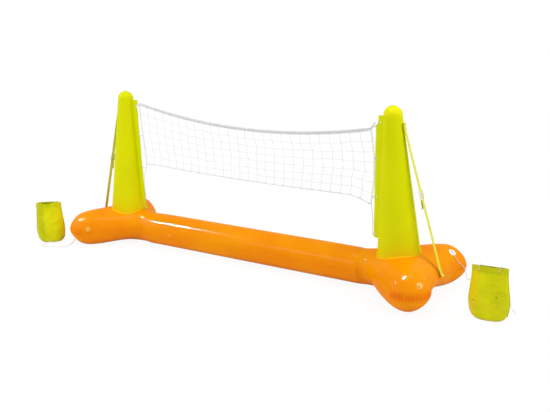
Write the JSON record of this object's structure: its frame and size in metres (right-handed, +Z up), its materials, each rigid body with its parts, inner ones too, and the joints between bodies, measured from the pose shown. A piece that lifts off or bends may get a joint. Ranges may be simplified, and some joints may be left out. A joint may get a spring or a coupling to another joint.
{
  "type": "floating volleyball net",
  "caption": "Inflatable floating volleyball net: tube base with forked lobe ends, leaning cone posts, a sagging net, guy straps with ladder locks, flip valves and tethered anchor bags.",
  "frame": {"origin": "middle of the base's underside, on the surface that it stands or floats on", "axes": "+X along the base from the left post to the right post, +Y away from the front, +Z up"},
  "size_m": [2.883, 0.7415, 0.9119],
  "materials": {
    "orange_vinyl": "glossy inflated vinyl",
    "lime_vinyl": "glossy lime vinyl",
    "lime_webbing": "flat woven strap",
    "white_cord": "twisted white cord and netting",
    "clear_vinyl": "milky clear plastic"
  },
  "bodies": {
    "float": {"anchor_patch_left": "clear_vinyl", "anchor_patch_right": "clear_vinyl", "base_float": "orange_vinyl", "guy_strap_left": "lime_webbing", "guy_strap_right": "lime_webbing", "net_bottom_cord": "white_cord", "net_fin_left": "lime_vinyl", "net_fin_right": "lime_vinyl", "net_mesh": "white_cord", "net_side_cord_left": "white_cord", "net_side_cord_right": "white_cord", "net_tie_bottom_left": "white_cord", "net_tie_bottom_right": "white_cord", "net_tie_lower_left": "white_cord", "net_tie_lower_right": "white_cord", "net_tie_top_left": "white_cord", "net_tie_top_right": "white_cord", "net_tie_upper_left": "white_cord", "net_tie_upper_right": "white_cord", "net_top_tape": "white_cord", "post_left": "lime_vinyl", "post_right": "lime_vinyl", "strap_lug_base_left": "lime_vinyl", "strap_lug_base_right": "lime_vinyl", "strap_lug_post_left": "lime_vinyl", "strap_lug_post_right": "lime_vinyl", "tether_cord_left": "white_cord", "tether_cord_right": "white_cord", "tether_knot_float_left": "white_cord", "tether_knot_float_right": "white_cord", "valve_cup_base_left": "clear_vinyl", "valve_cup_base_right": "clear_vinyl", "valve_cup_post_left": "clear_vinyl", "valve_cup_post_right": "clear_vinyl"},
    "stopper_base_left": {"valve_stopper_base_left": "clear_vinyl"},
    "stopper_base_right": {"valve_stopper_base_right": "clear_vinyl"},
    "stopper_post_left": {"valve_stopper_post_left": "clear_vinyl"},
    "stopper_post_right": {"valve_stopper_post_right": "clear_vinyl"},
    "slider_left": {"strap_buckle_left": "clear_vinyl", "strap_tail_left": "lime_webbing"},
    "slider_right": {"strap_buckle_right": "clear_vinyl", "strap_tail_right": "lime_webbing"},
    "anchor_left": {"anchor_bag_left": "lime_vinyl", "bag_loop_left_a": "white_cord", "bag_loop_left_b": "white_cord", "tether_knot_bag_left": "white_cord"},
    "anchor_right": {"anchor_bag_right": "lime_vinyl", "bag_loop_right_a": "white_cord", "bag_loop_right_b": "white_cord", "tether_knot_bag_right": "white_cord", "tether_knot_tail_right": "white_cord", "tether_tail_right": "white_cord"}
  },
  "joints": [
    {"name": "stopper_hinge_base_left", "type": "hinge", "parent": "float", "child": "stopper_base_left", "pos_m": [-0.97221, -0.28244, 0.11483], "axis": [-0.0636, 0.0858, 0.9943], "range_deg": [0, 140]},
    {"name": "stopper_hinge_base_right", "type": "hinge", "parent": "float", "child": "stopper_base_right", "pos_m": [1.15349, -0.25016, 0.14927], "axis": [-0.4317, 0.2703, 0.8606], "range_deg": [0, 140]},
    {"name": "stopper_hinge_post_left", "type": "hinge", "parent": "float", "child": "stopper_post_left", "pos_m": [-0.95374, 0.08948, 0.33699], "axis": [0.8815, 0.4695, -0.0507], "range_deg": [0, 140]},
    {"name": "stopper_hinge_post_right", "type": "hinge", "parent": "float", "child": "stopper_post_right", "pos_m": [0.95374, 0.08948, 0.33699], "axis": [0.8815, -0.4695, 0.0507], "range_deg": [0, 140]},
    {"name": "strap_slide_left", "type": "slide", "parent": "float", "child": "slider_left", "axis": [0.2779, 0, 0.9606], "range_m": [-0.1, 0.1]},
    {"name": "strap_slide_right", "type": "slide", "parent": "float", "child": "slider_right", "axis": [-0.2779, 0, 0.9606], "range_m": [-0.1, 0.1]},
    {"name": "anchor_drag_left", "type": "slide", "parent": "float", "child": "anchor_left", "axis": [-1, 0, 0], "range_m": [-0.03, 0.25], "deforming": ["tether_cord_left"]},
    {"name": "anchor_drag_right", "type": "slide", "parent": "float", "child": "anchor_right", "axis": [1, 0, 0], "range_m": [-0.1, 0.25], "deforming": ["tether_cord_right"]}
  ]
}
